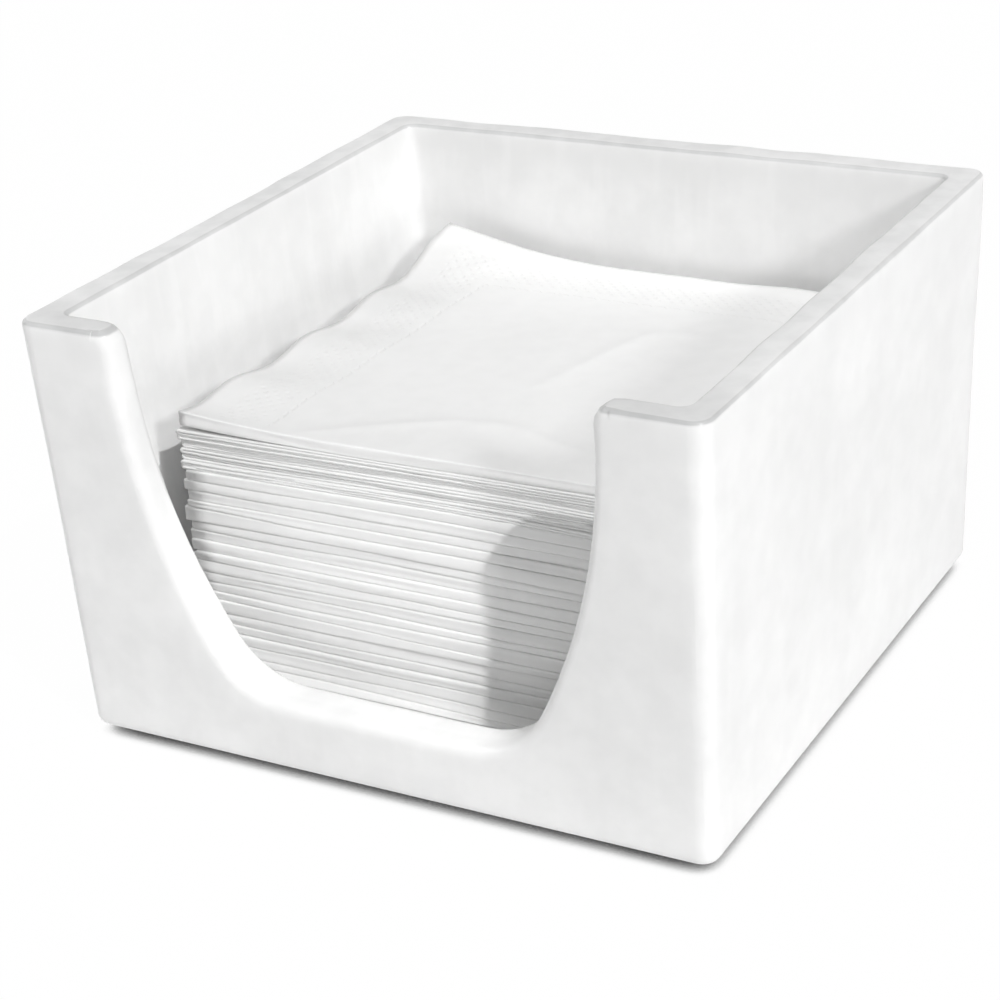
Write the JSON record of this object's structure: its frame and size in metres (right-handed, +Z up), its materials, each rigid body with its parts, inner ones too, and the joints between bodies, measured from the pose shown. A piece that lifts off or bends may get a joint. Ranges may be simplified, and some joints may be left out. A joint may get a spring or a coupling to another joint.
{
  "type": "napkin holder",
  "caption": "Open square cast-resin napkin holder with a deep U-shaped scoop in its front wall, filled with a pile of folded paper napkins that lift out.",
  "frame": {"origin": "on the table under the middle of the box", "axes": "+Z up, the scoop faces -Y, +X to the right as seen from the front"},
  "size_m": [0.155, 0.155, 0.098],
  "materials": {
    "cast_resin": "satin, milky",
    "pad_rubber": "matte",
    "napkin_paper": "matte, soft tissue"
  },
  "bodies": {
    "holder": {"holder_body": "cast_resin", "foot_pad_front_left": "pad_rubber", "foot_pad_front_right": "pad_rubber", "foot_pad_back_left": "pad_rubber", "foot_pad_back_right": "pad_rubber"},
    "napkin_01": {"napkin_01": "napkin_paper"},
    "napkin_02": {"napkin_02": "napkin_paper"},
    "napkin_03": {"napkin_03": "napkin_paper"},
    "napkin_04": {"napkin_04": "napkin_paper"},
    "napkin_05": {"napkin_05": "napkin_paper"},
    "napkin_06": {"napkin_06": "napkin_paper"},
    "napkin_07": {"napkin_07": "napkin_paper"},
    "napkin_08": {"napkin_08": "napkin_paper"},
    "napkin_09": {"napkin_09": "napkin_paper"},
    "napkin_10": {"napkin_10": "napkin_paper"},
    "napkin_11": {"napkin_11": "napkin_paper"},
    "napkin_12": {"napkin_12": "napkin_paper"},
    "napkin_13": {"napkin_13": "napkin_paper"},
    "napkin_14": {"napkin_14": "napkin_paper"},
    "napkin_15": {"napkin_15": "napkin_paper"},
    "napkin_16": {"napkin_16": "napkin_paper"},
    "napkin_17": {"napkin_17": "napkin_paper"},
    "napkin_18": {"napkin_18": "napkin_paper"},
    "napkin_19": {"napkin_19": "napkin_paper"},
    "napkin_20": {"napkin_20": "napkin_paper"},
    "napkin_21": {"napkin_21": "napkin_paper"},
    "napkin_22": {"napkin_22": "napkin_paper"},
    "napkin_23": {"napkin_23": "napkin_paper"},
    "napkin_24": {"napkin_24": "napkin_paper"},
    "napkin_25": {"napkin_25": "napkin_paper"}
  },
  "joints": [
    {"name": "napkin_01_lift", "type": "slide", "parent": "napkin_02", "child": "napkin_01", "axis": [0, 0, 1], "range_m": [0, 0.035]},
    {"name": "napkin_02_lift", "type": "slide", "parent": "napkin_03", "child": "napkin_02", "axis": [0, 0, 1], "range_m": [0, 0.038]},
    {"name": "napkin_03_lift", "type": "slide", "parent": "napkin_04", "child": "napkin_03", "axis": [0, 0, 1], "range_m": [0, 0.04]},
    {"name": "napkin_04_lift", "type": "slide", "parent": "napkin_05", "child": "napkin_04", "axis": [0, 0, 1], "range_m": [0, 0.043]},
    {"name": "napkin_05_lift", "type": "slide", "parent": "napkin_06", "child": "napkin_05", "axis": [0, 0, 1], "range_m": [0, 0.045]},
    {"name": "napkin_06_lift", "type": "slide", "parent": "napkin_07", "child": "napkin_06", "axis": [0, 0, 1], "range_m": [0, 0.047]},
    {"name": "napkin_07_lift", "type": "slide", "parent": "napkin_08", "child": "napkin_07", "axis": [0, 0, 1], "range_m": [0, 0.05]},
    {"name": "napkin_08_lift", "type": "slide", "parent": "napkin_09", "child": "napkin_08", "axis": [0, 0, 1], "range_m": [0, 0.052]},
    {"name": "napkin_09_lift", "type": "slide", "parent": "napkin_10", "child": "napkin_09", "axis": [0, 0, 1], "range_m": [0, 0.055]},
    {"name": "napkin_10_lift", "type": "slide", "parent": "napkin_11", "child": "napkin_10", "axis": [0, 0, 1], "range_m": [0, 0.057]},
    {"name": "napkin_11_lift", "type": "slide", "parent": "napkin_12", "child": "napkin_11", "axis": [0, 0, 1], "range_m": [0, 0.059]},
    {"name": "napkin_12_lift", "type": "slide", "parent": "napkin_13", "child": "napkin_12", "axis": [0, 0, 1], "range_m": [0, 0.062]},
    {"name": "napkin_13_lift", "type": "slide", "parent": "napkin_14", "child": "napkin_13", "axis": [0, 0, 1], "range_m": [0, 0.064]},
    {"name": "napkin_14_lift", "type": "slide", "parent": "napkin_15", "child": "napkin_14", "axis": [0, 0, 1], "range_m": [0, 0.067]},
    {"name": "napkin_15_lift", "type": "slide", "parent": "napkin_16", "child": "napkin_15", "axis": [0, 0, 1], "range_m": [0, 0.069]},
    {"name": "napkin_16_lift", "type": "slide", "parent": "napkin_17", "child": "napkin_16", "axis": [0, 0, 1], "range_m": [0, 0.071]},
    {"name": "napkin_17_lift", "type": "slide", "parent": "napkin_18", "child": "napkin_17", "axis": [0, 0, 1], "range_m": [0, 0.074]},
    {"name": "napkin_18_lift", "type": "slide", "parent": "napkin_19", "child": "napkin_18", "axis": [0, 0, 1], "range_m": [0, 0.076]},
    {"name": "napkin_19_lift", "type": "slide", "parent": "napkin_20", "child": "napkin_19", "axis": [0, 0, 1], "range_m": [0, 0.079]},
    {"name": "napkin_20_lift", "type": "slide", "parent": "napkin_21", "child": "napkin_20", "axis": [0, 0, 1], "range_m": [0, 0.081]},
    {"name": "napkin_21_lift", "type": "slide", "parent": "napkin_22", "child": "napkin_21", "axis": [0, 0, 1], "range_m": [0, 0.083]},
    {"name": "napkin_22_lift", "type": "slide", "parent": "napkin_23", "child": "napkin_22", "axis": [0, 0, 1], "range_m": [0, 0.086]},
    {"name": "napkin_23_lift", "type": "slide", "parent": "napkin_24", "child": "napkin_23", "axis": [0, 0, 1], "range_m": [0, 0.088]},
    {"name": "napkin_24_lift", "type": "slide", "parent": "napkin_25", "child": "napkin_24", "axis": [0, 0, 1], "range_m": [0, 0.09]},
    {"name": "napkin_25_lift", "type": "slide", "parent": "holder", "child": "napkin_25", "axis": [0, 0, 1], "range_m": [0, 0.093]}
  ]
}
